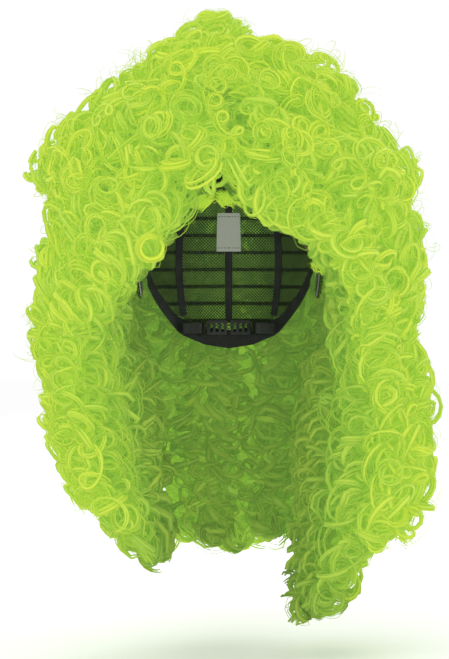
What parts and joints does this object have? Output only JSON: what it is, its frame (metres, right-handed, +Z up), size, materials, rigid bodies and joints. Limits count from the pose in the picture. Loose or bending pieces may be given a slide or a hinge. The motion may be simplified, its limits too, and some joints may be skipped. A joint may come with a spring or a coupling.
{
  "type": "costume wig",
  "caption": "Long curly costume wig: stretch-net cap with stitched wefts, ear tabs and nape adjusters, under a thick mass of curls with a fall on each side and one behind.",
  "frame": {"origin": "centre of the head on the hatband line, where the cap sits on the wearer's head", "axes": "-Y is the face side, +X the wearer's left (the viewer's right), +Z up"},
  "size_m": [0.3194, 0.2991, 0.4724],
  "materials": {
    "green_hair": "satin synthetic fibre",
    "stretch_net": "matte net",
    "front_lace": "matte lace",
    "velvet_tape": "velvet",
    "black_elastic": "matte woven elastic",
    "weft_tape": "stitched tape",
    "label_tape": "woven satin",
    "hook_metal": "black lacquer",
    "stay_metal": "satin"
  },
  "bodies": {
    "cap": {"front_lace": "front_lace", "front_velvet_tape": "velvet_tape", "crown_net": "stretch_net", "left_side_panel": "stretch_net", "right_side_panel": "stretch_net", "back_net": "stretch_net", "nape_band": "black_elastic", "left_ear_binding": "black_elastic", "right_ear_binding": "black_elastic", "centre_rib": "black_elastic", "left_rib": "black_elastic", "right_rib": "black_elastic", "crown_patch": "black_elastic", "size_label": "label_tape", "weft_row_1": "weft_tape", "weft_row_2": "weft_tape", "weft_row_3": "weft_tape", "weft_row_4": "weft_tape", "weft_row_5": "weft_tape", "weft_row_6": "weft_tape", "weft_row_7": "weft_tape", "weft_row_8": "weft_tape", "crown_weft_1": "weft_tape", "crown_weft_2": "weft_tape", "crown_weft_3": "weft_tape", "left_loop_ladder": "black_elastic", "right_loop_ladder": "black_elastic", "left_adjuster_strap": "black_elastic", "right_adjuster_strap": "black_elastic", "fringe_left": "green_hair", "fringe_right": "green_hair", "crown_hair_front_left": "green_hair", "crown_hair_front_right": "green_hair", "crown_hair_back_left": "green_hair", "crown_hair_back_right": "green_hair", "temple_hair_left": "green_hair", "temple_hair_right": "green_hair", "ear_hair_left": "green_hair", "ear_hair_right": "green_hair", "back_hair_left": "green_hair", "back_hair_right": "green_hair", "nape_hair": "green_hair"},
    "left_hook": {"left_adjuster_hook": "hook_metal"},
    "right_hook": {"right_adjuster_hook": "hook_metal"},
    "left_tab": {"left_ear_tab": "stretch_net", "left_ear_stay": "stay_metal"},
    "right_tab": {"right_ear_tab": "stretch_net", "right_ear_stay": "stay_metal"},
    "left_hair": {"left_fall": "green_hair"},
    "right_hair": {"right_fall": "green_hair"},
    "back_hair": {"back_fall": "green_hair"}
  },
  "joints": [
    {"name": "left_adjuster", "type": "hinge", "parent": "cap", "child": "left_hook", "pos_m": [0, 0.028, -0.055], "axis": [0, 0, 1], "range_deg": [0, 16], "deforming": ["left_adjuster_strap"]},
    {"name": "right_adjuster", "type": "hinge", "parent": "cap", "child": "right_hook", "pos_m": [0, 0.028, -0.055], "axis": [0, 0, -1], "range_deg": [0, 16], "deforming": ["right_adjuster_strap"]},
    {"name": "left_ear_bend", "type": "hinge", "parent": "cap", "child": "left_tab", "pos_m": [0.0729, -0.0244, -0.0042], "axis": [0.209, 0.9779, 0], "range_deg": [-6, 12]},
    {"name": "right_ear_bend", "type": "hinge", "parent": "cap", "child": "right_tab", "pos_m": [-0.0729, -0.0244, -0.0042], "axis": [0.209, -0.9779, 0], "range_deg": [-6, 12]},
    {"name": "left_fall_swing", "type": "hinge", "parent": "cap", "child": "left_hair", "pos_m": [0.1, 0.022, 0.062], "axis": [1, 0, 0], "range_deg": [-12, 20]},
    {"name": "right_fall_swing", "type": "hinge", "parent": "cap", "child": "right_hair", "pos_m": [-0.1, 0.022, 0.062], "axis": [1, 0, 0], "range_deg": [-12, 20]},
    {"name": "back_fall_lift", "type": "hinge", "parent": "cap", "child": "back_hair", "pos_m": [0, 0.111, 0.01], "axis": [1, 0, 0], "range_deg": [-4, 30]}
  ]
}
